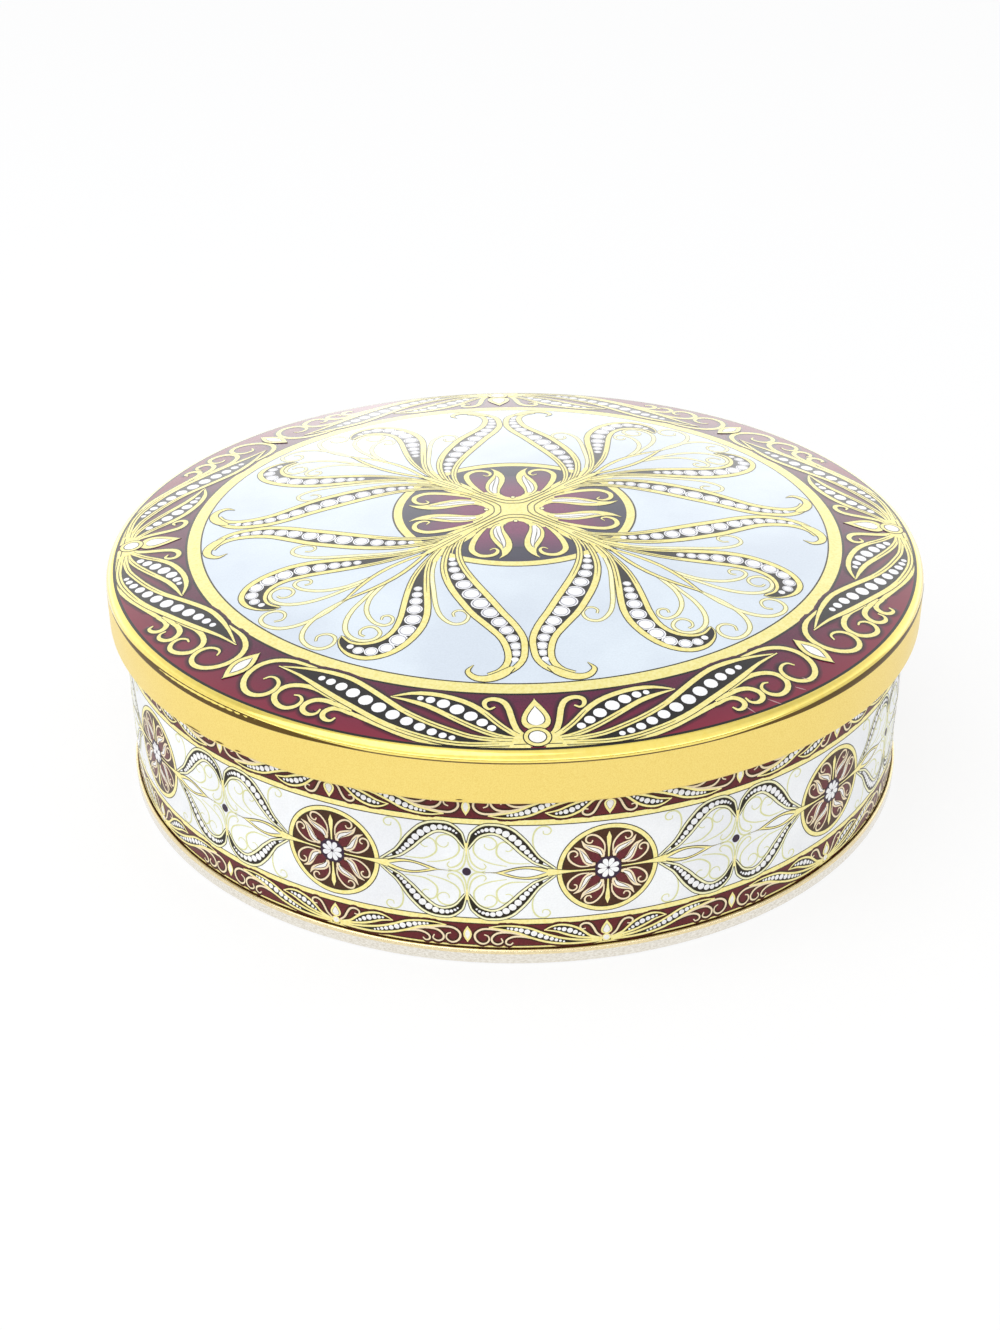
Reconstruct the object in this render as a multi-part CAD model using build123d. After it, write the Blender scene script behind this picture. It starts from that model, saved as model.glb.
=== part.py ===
"""Round slip-lid biscuit tin: a domed lid over a rolled body wall with a double-seamed base.

Each piece is one sheet of tinplate, so each is drawn as the line of its outer face, thickened by
the sheet's gauge and turned about the tin's axis. Lengths are in millimetres. The tin stands on
z = 0 with its axis on +Z, and its front looks along -Y.
"""

from build123d import *

import os
from math import asin, degrees, sqrt

# Body wall
wall_radius = 96.8
wall_height = 55.15
wall_sheet = 0.25
mouth_curl = 2.0

# Lock seam that closes the rolled wall, at the back
lock_width = 5.0
lock_folds = 2
lock_end_gap = 1.0

# Lid
lid_sheet = 0.25
lid_curl = 2.2
lid_rise = 8.8
lid_skirt = 12.1
lid_corner = 2.2

# Base plate and its double seam
base_sheet = 0.25
base_recess = 3.2
seam_height = 3.6
seam_corner = 0.4
base_bead_radius = 77.0
base_bead_width = 6.0
base_bead_rise = 0.8

# Clearances
slip_gap = 1.0
seat_gap = 0.3
fold_gap = 0.03
curl_mouth_gap = 0.3

# Places that follow from the sizes above
lid_radius = wall_radius + slip_gap + lid_curl
crown_radius = (lid_radius**2 + lid_rise**2) / (2 * lid_rise)
fold_pitch = base_sheet + fold_gap
hook_pitch = wall_sheet + fold_gap
seam_radius = wall_radius + fold_pitch + hook_pitch + fold_pitch
chuck_radius = wall_radius - wall_sheet - fold_gap


def crown_centre():
    """Height of the crown's centre of curvature: the lid hangs seat_gap over the wall's mouth."""
    curl_middle = wall_radius - mouth_curl / 2
    reach = crown_radius - lid_sheet - seat_gap - mouth_curl / 2
    return wall_height - mouth_curl / 2 - sqrt(reach**2 - curl_middle**2)


def crown_point(radius):
    """Point of the lid's outer face at a distance from the axis."""
    return (radius, crown_centre() + sqrt(crown_radius**2 - radius**2))


def turned_sheet(line, gauge, side):
    """Sheet-metal ring or disc: the outer face's line, thickened to one side and revolved."""
    section = make_face(offset(line, amount=gauge, side=side))
    return revolve(Plane.XZ * section, Axis.Z)


def lid():
    """One pressing: domed crown, rounded corner, straight skirt and a curl rolled inwards."""
    corner = crown_point(lid_radius)
    curl_height = corner[1] - lid_skirt + lid_curl / 2
    slit = degrees(2 * asin(curl_mouth_gap / lid_curl))
    with BuildLine() as face:
        ThreePointArc(crown_point(0), crown_point(lid_radius / 2), corner)
        Line(corner, (lid_radius, curl_height))
        fillet(face.vertices().sort_by_distance(corner)[0], lid_corner)
        CenterArc((lid_radius - lid_curl / 2, curl_height), lid_curl / 2, 0, slit - 310)
    return turned_sheet(face.wire(), lid_sheet, Side.RIGHT)


def lock_seam():
    """Folded strip that stands inside the wall where its two ends hook together."""
    low = max(base_recess, seam_height) + lock_end_gap
    high = wall_height - mouth_curl - lock_end_gap
    inner = wall_radius - wall_sheet
    depth = lock_folds * wall_sheet
    strip = Pos(inner - depth / 2, (low + high) / 2) * Rectangle(depth, high - low)
    width = degrees(lock_width / inner)
    return Rot(0, 0, 90 - width / 2) * revolve(Plane.XZ * strip, Axis.Z, width)


def body_wall():
    """Rolled strip: a curl at the mouth, the plain wall and the hook of the double seam."""
    turn = (wall_sheet + fold_pitch + hook_pitch) / 2
    low = base_sheet + fold_gap + turn
    hook_top = seam_height - base_sheet - fold_gap - turn
    slit = degrees(2 * asin(curl_mouth_gap / mouth_curl))
    curl_height = wall_height - mouth_curl / 2
    with BuildLine() as face:
        CenterArc((wall_radius - mouth_curl / 2, curl_height), mouth_curl / 2, 310 - slit, slit - 310)
        Line((wall_radius, curl_height), (wall_radius, low))
    with BuildLine() as hook:
        CenterArc((wall_radius - wall_sheet + turn, low), turn, 180, 180)
        Line((wall_radius - wall_sheet + 2 * turn, low), (wall_radius - wall_sheet + 2 * turn, hook_top))
    wall = turned_sheet(face.wire(), wall_sheet, Side.RIGHT)
    return wall + turned_sheet(hook.wire(), wall_sheet, Side.LEFT) + lock_seam()


def base_plate():
    """Recessed disc with a stiffening bead, whose edge wraps the wall's hook in a double seam."""
    bead_in = base_bead_radius - base_bead_width / 2
    bead_out = base_bead_radius + base_bead_width / 2
    bead_top = base_recess + base_bead_rise
    turn = (seam_radius - wall_radius - fold_gap) / 2
    hook_low = base_sheet + 2 * fold_gap + wall_sheet + turn
    with BuildLine() as face:
        Line((0, base_recess), (bead_in, base_recess))
        ThreePointArc((bead_in, base_recess), (base_bead_radius, bead_top), (bead_out, base_recess))
        FilletPolyline(
            (bead_out, base_recess),
            (chuck_radius - base_sheet, base_recess),
            (chuck_radius - base_sheet, 0),
            (seam_radius, 0),
            (seam_radius, seam_height - turn),
            radius=seam_corner,
        )
        CenterArc((seam_radius - turn, seam_height - turn), turn, 0, 180)
        Line((seam_radius - 2 * turn, seam_height - turn), (seam_radius - 2 * turn, hook_low))
    return turned_sheet(face.wire(), base_sheet, Side.LEFT)


def main():
    """Writes one solid for each physical piece."""
    os.makedirs("parts", exist_ok=True)
    for make in (lid, body_wall, base_plate):
        export_step(make(), f"parts/{make.__name__}.step")


if __name__ == "__main__":
    main()
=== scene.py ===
"""Decorative tin: a printed slip lid, a printed wall and a seamed base, dressed in the model's own frame.

Sizes in the classes are millimetres, and become metres where a mesh is finished. The print is drawn flat,
in one sector of the lid or one length of the wall, repeated, and then laid on the metal.
"""

import itertools
import logging
import math
from collections.abc import Callable, Sequence
from dataclasses import dataclass, field, replace
from enum import Enum

import bmesh
import bpy
from mathutils import Matrix, Vector
from mathutils.geometry import interpolate_bezier


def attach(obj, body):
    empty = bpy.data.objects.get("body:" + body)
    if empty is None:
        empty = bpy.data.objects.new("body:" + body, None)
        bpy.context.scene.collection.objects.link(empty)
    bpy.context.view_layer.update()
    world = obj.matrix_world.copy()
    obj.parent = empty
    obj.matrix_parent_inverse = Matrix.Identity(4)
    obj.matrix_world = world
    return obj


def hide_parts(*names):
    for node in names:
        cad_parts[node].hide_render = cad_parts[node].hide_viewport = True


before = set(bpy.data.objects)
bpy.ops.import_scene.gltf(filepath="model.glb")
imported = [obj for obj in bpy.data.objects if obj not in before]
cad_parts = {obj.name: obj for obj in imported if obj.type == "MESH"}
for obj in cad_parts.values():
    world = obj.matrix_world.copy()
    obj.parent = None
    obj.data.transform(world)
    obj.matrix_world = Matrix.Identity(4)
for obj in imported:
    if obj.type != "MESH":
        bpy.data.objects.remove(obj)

log = logging.getLogger("tin")

MM = 0.001
WELD = 0.0005

Colour = tuple[int, int, int]
Linear = tuple[float, float, float, float]
Output = tuple[bpy.types.Node, str | int]
Tone = Output | Linear
Inputs = dict[str | int, object]
Point = tuple[float, float]
Points = Sequence[Point]
Spot = tuple[float, float, float, float]
HalfWidth = Callable[[float], float]
Mesh = bmesh.types.BMesh
Faces = set[bmesh.types.BMFace]


def linear(colour: Colour) -> Linear:
    """Turns an sRGB colour written 0 to 255 into the linear colour a shader socket takes.

    Args:
        colour: red, green and blue from 0 to 255.

    Returns:
        Linear red, green, blue and an alpha of 1.
    """
    parts = [c / 255 for c in colour]
    low = [p / 12.92 if p <= 0.04045 else ((p + 0.055) / 1.055) ** 2.4 for p in parts]
    return (low[0], low[1], low[2], 1.0)


# Finishes


class Tree:
    """A node tree, built with one call for each node."""

    def __init__(self, owner: bpy.types.Material | bpy.types.World) -> None:
        """Empties the tree.

        Args:
            owner: the material or world whose tree it is.
        """
        owner.use_nodes = True
        self.tree = owner.node_tree
        self.tree.nodes.clear()

    def fill(self, node: bpy.types.Node, inputs: Inputs) -> None:
        """Fills inputs of a node.

        Args:
            node: the node.
            inputs: each input with its plain value, or with the output that is joined to it.
        """
        for name, value in inputs.items():
            if isinstance(value, tuple) and isinstance(value[0], bpy.types.Node):
                self.tree.links.new(value[0].outputs[value[1]], node.inputs[name])
            else:
                node.inputs[name].default_value = value

    def add(self, kind: str, inputs: Inputs | None = None, **settings: object) -> bpy.types.Node:
        """Adds a node.

        Args:
            kind: the node's type, without the words that all start with.
            inputs: its inputs, as fill takes them.
            settings: attributes to set on it.

        Returns:
            The new node.
        """
        node = self.tree.nodes.new(f"ShaderNode{kind}")
        for key, value in settings.items():
            setattr(node, key, value)
        self.fill(node, inputs or {})
        return node

    def span(self, source: Output, start: float, end: float, low: float = 0.0, high: float = 1.0) -> Output:
        """Maps values from a stretch between two ends onto another stretch, and stops at its ends."""
        stretch = {"Value": source, "From Min": start, "From Max": end, "To Min": low, "To Max": high}
        return (self.add("MapRange", stretch), "Result")

    def ramp(self, source: Output, stops: Sequence[tuple[float, Linear]]) -> Output:
        """Turns values into colours.

        Args:
            source: the values.
            stops: places from 0 to 1 with their colours.

        Returns:
            The colours.
        """
        ramp = self.add("ValToRGB", {"Fac": source})
        bar = ramp.color_ramp
        while len(bar.elements) < len(stops):
            bar.elements.new(0.5)
        for element, (place, colour) in zip(bar.elements, stops):
            element.position = place
            element.color = colour
        return (ramp, "Color")

    def mix(self, factor: Output | float, a: Tone, b: Tone, blend: str = "MIX") -> Output:
        """Mixes two colours by a factor, which is 0 where only the first one is left."""
        return (self.add("Mix", {0: factor, 6: a, 7: b}, data_type="RGBA", blend_type=blend), 2)


class Nodes(Tree):
    """A material's tree: one shader, and patterns on Object coordinates."""

    def __init__(self, material: bpy.types.Material) -> None:
        """Starts the tree with a shader, an output and the coordinates.

        Args:
            material: the material whose tree is built.
        """
        super().__init__(material)
        self.shader = self.add("BsdfPrincipled")
        self.add("OutputMaterial", {"Surface": (self.shader, "BSDF")})
        self.place = (self.add("TexCoord"), "Object")

    def paint(self, **inputs: object) -> None:
        """Fills the shader's own inputs, each named with _ for a space."""
        self.fill(self.shader, {name.replace("_", " "): value for name, value in inputs.items()})

    def noise(self, scale: float, detail: float, stretch: Sequence[float] = (1, 1, 1)) -> Output:
        """Makes an uneven pattern.

        Args:
            scale: how many features to a metre.
            detail: layers of finer noise.
            stretch: scale along each axis.

        Returns:
            The pattern.
        """
        mapping = self.add("Mapping", {"Scale": stretch, "Vector": self.place})
        texture = self.add("TexNoise", {"Scale": scale, "Detail": detail, "Vector": (mapping, "Vector")})
        return (texture, "Fac")

    def outwards(self, near: float, far: float) -> Output:
        """Makes a gradient on the distance from the tin's axis.

        Args:
            near: distance in metres where it starts.
            far: distance where it ends.

        Returns:
            Its values, from 0 to 1.
        """
        flat = self.add("VectorMath", {0: self.place, 1: (1, 1, 0)}, operation="MULTIPLY")
        reach = self.add("VectorMath", {0: (flat, 0)}, operation="LENGTH")
        return self.span((reach, "Value"), near, far)

    def bump(self, height: Output, depth: float, strength: float) -> None:
        """Roughens the shader's normal by a pattern: its depth in metres and how much of it shows."""
        relief = self.add("Bump", {"Height": height, "Distance": depth, "Strength": strength})
        self.paint(Normal=(relief, "Normal"))


@dataclass(frozen=True)
class PrintInk:
    """Opaque printing ink, on the crown under the clear varnish that is rolled over the lid.

    The ink goes over to its rim colour near the crown's edge, and to its shade where a drawing is marked.
    """

    colour: Colour
    grain: float = 0.025
    coat: float = 1.0
    rim: Colour | None = None
    shade: Colour | None = None
    roughness: float = 0.3
    dots: float = 2600.0
    relief: float = 0.000006
    clouds: float = 38.0
    thin: Colour = (243, 243, 245)
    rim_near: float = 0.083
    rim_far: float = 0.0985

    def dress(self, material: bpy.types.Material) -> None:
        """Builds the finish.

        Args:
            material: the empty material.
        """
        nodes = Nodes(material)
        dots = nodes.noise(self.dots, 2.0)
        dark = tuple(int(c * (1 - self.grain)) for c in self.colour)
        light = tuple(min(255, int(c * (1 + self.grain)) + 1) for c in self.colour)
        ink = nodes.ramp(dots, [(0.34, linear(dark)), (0.66, linear(light))])
        full = (1.0, 1.0, 1.0, 1.0)
        cover = nodes.ramp(nodes.noise(self.clouds, 3.0), [(0.35, linear(self.thin)), (0.6, full)])
        tone = nodes.mix(1.0, ink, cover, "MULTIPLY")
        if self.rim is not None:
            tone = nodes.mix(nodes.outwards(self.rim_near, self.rim_far), tone, linear(self.rim))
        if self.shade is not None:
            mark = nodes.add("Attribute", attribute_name="shade")
            tone = nodes.mix((mark, "Fac"), tone, linear(self.shade))
        nodes.paint(Base_Color=tone, Roughness=self.roughness, Specular_IOR_Level=0.1 if self.coat else 0.2)
        nodes.paint(Coat_Weight=self.coat, Coat_Roughness=0.2, Coat_IOR=1.5)
        nodes.bump(dots, self.relief, 0.25)


@dataclass(frozen=True)
class GoldLacquer:
    """Gold lacquer over bright tinplate; the thicker it is, the less of the metal's mirror is left."""

    colour: Colour
    deep: Colour
    metal: float = 0.3
    roughness: float = 0.3
    grain_size: float = 1500.0
    grain_depth: float = 0.000006
    coat: float = 0.3
    patches: float = 55.0

    def dress(self, material: bpy.types.Material) -> None:
        """Builds the finish.

        Args:
            material: the empty material.
        """
        nodes = Nodes(material)
        grain = nodes.noise(self.grain_size, 3.0)
        tone = nodes.ramp(grain, [(0.36, linear(self.deep)), (0.6, linear(self.colour))])
        uneven = nodes.noise(self.patches, 2.0)
        rough = nodes.span(uneven, 0.0, 1.0, self.roughness * 0.8, self.roughness * 1.2)
        nodes.paint(Base_Color=tone, Roughness=rough, Metallic=self.metal)
        nodes.paint(Coat_Weight=self.coat, Coat_Roughness=0.1, Coat_IOR=1.5)
        nodes.bump(grain, self.grain_depth, 0.5)


@dataclass(frozen=True)
class BareTin:
    """Tinplate with no print: rolled, a little dull, with fine marks round the tin."""

    colour: Colour
    deep: Colour
    roughness: float
    marks: float = 1500.0
    depth: float = 0.000008

    def dress(self, material: bpy.types.Material) -> None:
        """Builds the finish.

        Args:
            material: the empty material.
        """
        nodes = Nodes(material)
        marks = nodes.noise(self.marks, 3.0, (1, 1, 2))
        tone = nodes.ramp(marks, [(0.35, linear(self.deep)), (0.62, linear(self.colour))])
        rough = nodes.span(marks, 0.0, 1.0, self.roughness * 0.7, self.roughness * 1.3)
        nodes.paint(Base_Color=tone, Roughness=rough, Metallic=1.0)
        nodes.bump(marks, self.depth, 0.4)


class Ink(Enum):
    """Every finish on the tin, by name."""

    FIELD = PrintInk((219, 229, 238), grain=0.012)
    WALL_WHITE = PrintInk((247, 249, 250), grain=0.01, coat=0.0)
    CORE = PrintInk((250, 247, 242), grain=0.03)
    PEARL = PrintInk((253, 253, 253), grain=0.03, coat=0.3)
    PEARL_EDGE = PrintInk((150, 150, 160), coat=0.3)
    BLACK = PrintInk((26, 23, 20))
    LINE = PrintInk((42, 38, 16))
    FAINT_LINE = PrintInk((150, 142, 76))
    BURGUNDY = PrintInk((92, 24, 58), grain=0.1, rim=(130, 28, 53))
    SHADED = replace(BURGUNDY, shade=(32, 14, 28))
    MAUVE = PrintInk((122, 46, 90), grain=0.06, shade=(54, 52, 76))
    CHARCOAL = PrintInk((42, 40, 64), grain=0.06)
    BROWN = PrintInk((72, 42, 22), grain=0.1, coat=0.0)
    PLUM = PrintInk((58, 40, 60), coat=0.0)
    WINE = PrintInk((104, 38, 44), grain=0.1, coat=0.0, shade=(80, 44, 28))
    WALL_BLACK = PrintInk((40, 34, 24), coat=0.0)
    WALL_LINE = PrintInk((54, 50, 26), coat=0.0)
    WALL_BURGUNDY = PrintInk((100, 34, 38), grain=0.1, coat=0.0)
    WALL_SHADED = replace(WALL_BURGUNDY, shade=(54, 30, 8))
    VINE = PrintInk((250, 246, 200), coat=0.0)
    PETAL = PrintInk((250, 230, 192), coat=0.0)
    FAINT = PrintInk((224, 224, 166), coat=0.0)
    SCRATCH = PrintInk((196, 160, 160))
    # Real wear on the skirt's lower edge, and painted shade under the rounded corner in place of a dark
    # reflection.
    RUBBED = PrintInk((92, 68, 14), coat=0.0)
    GOLD = GoldLacquer((251, 241, 164), (243, 228, 138), metal=0.15)
    PALE_GOLD = GoldLacquer((255, 250, 204), (252, 243, 176), metal=0.1)
    RING_GOLD = GoldLacquer((251, 241, 165), (241, 228, 139), metal=0.2)
    WALL_GOLD = GoldLacquer((254, 243, 168), (248, 232, 142), metal=0.1, coat=0.0)
    CORNER = GoldLacquer((255, 232, 116), (252, 226, 104), 0.5, 0.12, 900.0, 0.000002, coat=1.0)
    # Painted shade: a dark gold band at the foot of the lid's rounded corner, standing in for the dark
    # reflection there.
    FOOT = GoldLacquer((104, 80, 26), (84, 62, 18))
    SKIRT = GoldLacquer((250, 225, 130), (242, 213, 112), 0.6, 0.42, 3800.0, 0.00001, coat=0.1)
    TIN = BareTin((241, 237, 228), (225, 219, 206), roughness=0.2)
    # Painted reflection: the warm tint stands in for the wall's gold border mirrored in the seam's shoulder.
    SEAM_EDGE = BareTin((243, 228, 186), (232, 212, 166), roughness=0.16)
    INSIDE = BareTin((222, 221, 217), (200, 199, 195), roughness=0.42)

    def material(self) -> bpy.types.Material:
        """Gives this finish's material, and makes it on first use.

        Returns:
            The material.
        """
        name = self.name.lower()
        if name not in bpy.data.materials:
            self.value.dress(bpy.data.materials.new(name))
        return bpy.data.materials[name]


# Surfaces that the print lies on


def turned(reach: float, turn: float, z: float) -> Vector:
    """Point at a distance from the axis, an angle round it in radians and a height."""
    return Vector((reach * math.cos(turn), reach * math.sin(turn), z))


@dataclass(frozen=True)
class Dome:
    """The lid's crown: part of a sphere with its centre on the tin's axis."""

    radius: float
    centre: float

    def height(self, r: float) -> float:
        """Height of the outer face at a distance from the axis."""
        return self.centre + math.sqrt(self.radius**2 - r**2)

    def place(self, x: float, y: float, h: float) -> Vector:
        """Lays a drawn point on the crown, at a height above the metal."""
        ray = Vector((x, y, math.sqrt(self.radius**2 - x * x - y * y)))
        return Vector((0, 0, self.centre)) + ray * ((self.radius + h) / self.radius)


@dataclass(frozen=True)
class Round:
    """The wall's outer face: x runs round it, on the radius it was drawn for, and y is the height."""

    radius: float
    start: float
    drawn: float

    def place(self, x: float, y: float, h: float) -> Vector:
        """Lays a drawn point on the wall, at a height above the metal."""
        return turned(self.radius + h, math.radians(self.start) + x / self.drawn, y)


@dataclass(frozen=True)
class Rim:
    """The lid's rounded corner: x is the azimuth in degrees and y the height above the corner's foot."""

    radius: float
    corner: float
    foot: float

    def place(self, x: float, y: float, h: float) -> Vector:
        """Lays a drawn point on the corner, or on the skirt under it, at a height above the metal."""
        bulge = math.sqrt(self.corner**2 - min(max(y, 0.0), self.corner) ** 2)
        return turned(self.radius - self.corner + bulge + h, math.radians(x), self.foot + y)


# Drawing


def lengths(path: Sequence[Vector]) -> list[float]:
    """Length of a path up to each of its points."""
    return list(itertools.accumulate(((b - a).length for a, b in zip(path, path[1:])), initial=0.0))


def even_path(path: Sequence[Vector], cost: Sequence[float], count: int) -> list[Vector]:
    """Steps along a path so that each step costs the same.

    Args:
        path: points along it.
        cost: what it has cost up to each of them.
        count: how many steps.

    Returns:
        The points between the steps.
    """
    line, j = [], 0
    for k in range(count + 1):
        goal = cost[-1] * k / count
        while j < len(cost) - 2 and cost[j + 1] < goal:
            j += 1
        gap = cost[j + 1] - cost[j]
        line.append(path[j].lerp(path[j + 1], (goal - cost[j]) / gap if gap else 0.0))
    return line


def smooth_path(points: Points, run: float, bend: float, fewest: int = 4, curve: int = 14) -> list[Vector]:
    """Draws a smooth line through points, with more steps where it bends more.

    Args:
        points: the points, in order.
        run: length that one step may have.
        bend: angle in degrees that one step may turn.
        fewest: the fewest steps that the line gets.
        curve: points worked out between two of the given ones.

    Returns:
        Points along the line.
    """
    knots = [Vector((x, y, 0.0)) for x, y in points]
    if len(knots) == 2:
        knots.insert(1, (knots[0] + knots[1]) / 2)
    last = len(knots) - 1
    tangents = [(knots[min(i + 1, last)] - knots[max(i - 1, 0)]).normalized() for i in range(last + 1)]
    dense: list[Vector] = []
    for i in range(last):
        a, b = knots[i], knots[i + 1]
        reach = (b - a).length / 3
        dense += interpolate_bezier(a, a + tangents[i] * reach, b - tangents[i + 1] * reach, b, curve)[:-1]
    dense.append(knots[-1])
    steps = [b - a for a, b in zip(dense, dense[1:])]
    cost = [0.0]
    for i, step in enumerate(steps):
        turn = step.angle(steps[i - 1], 0.0) if i else 0.0
        cost.append(cost[-1] + step.length / run + math.degrees(turn) / bend)
    return even_path(dense, cost, max(fewest, math.ceil(cost[-1])))


def eased(widths: Sequence[float]) -> HalfWidth:
    """Half-width that runs between values given at even steps along a stroke.

    Args:
        widths: the values.

    Returns:
        The half-width as a function of the share of the length.
    """

    def at(t: float) -> float:
        """Half-width at a share of the length.

        Args:
            t: the share, 0 to 1.

        Returns:
            The half-width.
        """
        place = t * (len(widths) - 1)
        i = min(int(place), len(widths) - 2)
        return widths[i] + (widths[i + 1] - widths[i]) * (place - i)

    return at


def drop(width: float) -> HalfWidth:
    """Half-width of a teardrop with its point at the start and a round end."""
    return lambda t: 2 * width * t * math.sqrt(max(0.0, 1 - t * t))


def lens(width: float) -> HalfWidth:
    """Half-width of a leaf with a point at both ends."""
    return lambda t: width * math.sin(math.pi * t)


def wedge(width: float) -> HalfWidth:
    """Half-width of a leaf that is broad near its start and runs out to a long point."""
    return lambda t: width * math.sin(math.pi * t**0.6)


def blade(width: float) -> HalfWidth:
    """Half-width of a leaf whose point runs on as a thin line."""
    return lambda t: max(width * math.sin(math.pi * min(1.0, t / 0.82) ** 0.85), 0.5 * (1 - t))


def whole(radius: float) -> HalfWidth:
    """Half-width of a disc, from one side to the other."""
    return lambda t: radius * math.sqrt(max(0.0, 1 - (2 * t - 1) ** 2))


def blunt(width: float, share: float = 1.0) -> HalfWidth:
    """Half-width of a stroke that narrows only near its ends, or a share of it."""
    return lambda t: width * min(1.0, 0.15 + 9 * t, 0.15 + 9 * (1 - t)) * share


@dataclass(frozen=True)
class Pen:
    """An ink and, where a shape has an outline, the outline's ink and width."""

    ink: Ink
    edge: Ink | None = None
    line: float = 0.25


@dataclass
class Drawing:
    """Flat drawing of one part of the print, in millimetres, as closed shapes a few hundredths thick.

    Each shape stands on its root under the metal's face and lies a rise above the one before.
    """

    fine: float = 1.0
    level: float = 0.03
    rise: float = 0.003
    root: float = -0.01
    chord: float = 10.0
    cell: float = 2.4
    bevel: float = 0.003
    weld: float = 0.0004
    run: float = 4.0
    bend: float = 17.0
    soft_bend: float = 22.0
    core: float = 0.4
    outline: float = 0.32
    ease: float = 0.6
    layer: float = 0.014
    inks: list[Ink] = field(default_factory=list)

    def __post_init__(self) -> None:
        """Starts the mesh and its shade layer."""
        self.bm = bmesh.new()
        self.shade = self.bm.verts.layers.float.new("shade")

    def slot(self, ink: Ink) -> int:
        """Index of an ink among this piece's materials.

        Args:
            ink: the ink.

        Returns:
            Its index, which is a new one on first use.
        """
        if ink not in self.inks:
            self.inks.append(ink)
        return self.inks.index(ink)

    def skin(self, rows: Sequence[Sequence[Spot]], inks: Sequence[Ink]) -> None:
        """Wraps a grid round a shape's section, row by row, and closes its ends.

        Args:
            rows: for each step along the shape, the points round its section with height and shade.
            inks: the ink of each span between the points of a section.
        """
        slots = [self.slot(ink) for ink in inks]
        n, m = len(rows) - 1, len(rows[0])
        made = bmesh.ops.create_grid(self.bm, x_segments=n, y_segments=m, size=1.0)["verts"]
        column = {}
        for v in made:
            i, j = round((v.co.x + 1) / 2 * n), round((v.co.y + 1) / 2 * m)
            x, y, h, shade = rows[i][j % m]
            v.co = (x, y, h)
            v[self.shade] = shade
            column[v] = j
        for face in {f for v in made for f in v.link_faces}:
            face.material_index = slots[min(column[v] for v in face.verts)]
        bmesh.ops.remove_doubles(self.bm, verts=made, dist=self.weld)
        rim = list({e for v in made if v.is_valid for e in v.link_edges if e.is_boundary})
        if rim:
            bmesh.ops.holes_fill(self.bm, edges=rim, sides=0)

    def band(self, left: Sequence[Vector], right: Sequence[Vector], pen: Pen, fade: float = 0.0) -> None:
        """Draws the strip between two lines.

        Args:
            left: points of one side.
            right: points of the other side, as many.
            pen: what it is drawn with.
            fade: how far it has gone over to its shade at its far end.
        """
        self.level += self.rise
        low, high = self.root, self.level
        widest = max((a - b).length for a, b in zip(left, right))
        spans = max(1, math.ceil(widest / (self.cell * self.fine)))
        under = range(spans - 1, 0, -1) if widest > self.chord else ()
        sill = [high - self.bevel] if pen.edge else []
        rows = []
        for i, (a, b) in enumerate(zip(left, right)):
            shade = fade * min(1.0, max(0.0, (1 + self.ease) * i / len(left) - self.ease))
            span = (b - a).length
            part = min(pen.line / span, self.outline) if pen.edge and span > 1e-6 else 0.0
            steps = [(0.0, h) for h in (low, *sill)]
            steps += [(part + (1 - 2 * part) * k / spans, high) for k in range(spans + 1)]
            steps += [(1.0, h) for h in (*sill, low)] + [(k / spans, low) for k in under]
            rows.append([(*a.lerp(b, share).xy, h, shade) for share, h in steps])
        side = [pen.edge] * 2 if pen.edge else [pen.ink]
        self.skin(rows, side + [pen.ink] * spans + side + side[:1] * (len(under) + 1))

    def edges(self, path: Sequence[Vector], width: HalfWidth) -> tuple[list[Vector], list[Vector]]:
        """Finds the two sides of a stroke.

        Args:
            path: points along its middle.
            width: its half-width.

        Returns:
            The points of the left and the right side.
        """
        length = lengths(path)
        left, right = [], []
        for i, p in enumerate(path):
            along = (path[min(i + 1, len(path) - 1)] - path[max(i - 1, 0)]).normalized()
            across = Vector((-along.y, along.x, 0.0))
            half = width(length[i] / length[-1])
            left.append(p + across * half)
            right.append(p - across * half)
        return left, right

    def stroke(self, points: Points, widths: Sequence[float], pen: Pen) -> None:
        """Draws a stroke along a line, with its half-widths at even steps."""
        path = smooth_path(points, self.run * self.fine, self.bend)
        self.band(*self.edges(path, eased(widths)), pen)

    def bud(self, tip: Point, end: Point, width: HalfWidth, pen: Pen, steps: int = 14) -> None:
        """Draws a straight leaf or drop whose outline follows a formula.

        Args:
            tip: where it starts.
            end: where it ends.
            width: its half-width.
            pen: what it is drawn with.
            steps: steps along it.
        """
        a, b = Vector((*tip, 0.0)), Vector((*end, 0.0))
        path = [a.lerp(b, (1 - math.cos(math.pi * k / steps)) / 2) for k in range(steps + 1)]
        self.band(*self.edges(path, width), pen)

    def between(self, one: Points, two: Points, ink: Ink, steps: int, fade: float = 0.0) -> None:
        """Fills the ground between two lines, in even steps, fading to its shade at the far end."""
        paths = [smooth_path(points, 1.0, 20.0) for points in (one, two)]
        self.band(*(even_path(path, lengths(path), steps) for path in paths), Pen(ink), fade)

    def shadow(self, points: Points, reach: float, ink: Ink, top: float = 0.026) -> None:
        """Draws the soft shading under a stroke: dark in its middle, the ground's colour at its edge.

        Args:
            points: points on the stroke's middle.
            reach: how far the shading spreads to each side.
            ink: the shaded ink.
            top: how high it stands in its middle.
        """
        path = smooth_path(points, self.run * self.fine, self.soft_bend)
        left, right = self.edges(path, blunt(reach))
        middle = self.edges(path, blunt(reach, self.core))
        levels = ((self.root, 0.0), (top, 1.0), (top, 1.0), (self.root, 0.0))
        rows = [[(*p.xy, *level) for p, level in zip(row, levels)] for row in zip(left, *middle, right)]
        self.skin(rows, [ink] * 4)

    def ring(self, place: Point, radius: float, half: float, pen: Pen) -> None:
        """Draws a ring.

        Args:
            place: its middle.
            radius: the radius of its middle line.
            half: half of its width.
            pen: what it is drawn with.
        """
        path = [Vector((*p, 0.0)) for p in arc(place, radius, 0, 360, 56)]
        out = [(p - Vector((*place, 0.0))).normalized() * half for p in path]
        self.band([p + q for p, q in zip(path, out)], [p - q for p, q in zip(path, out)], pen)

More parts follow.
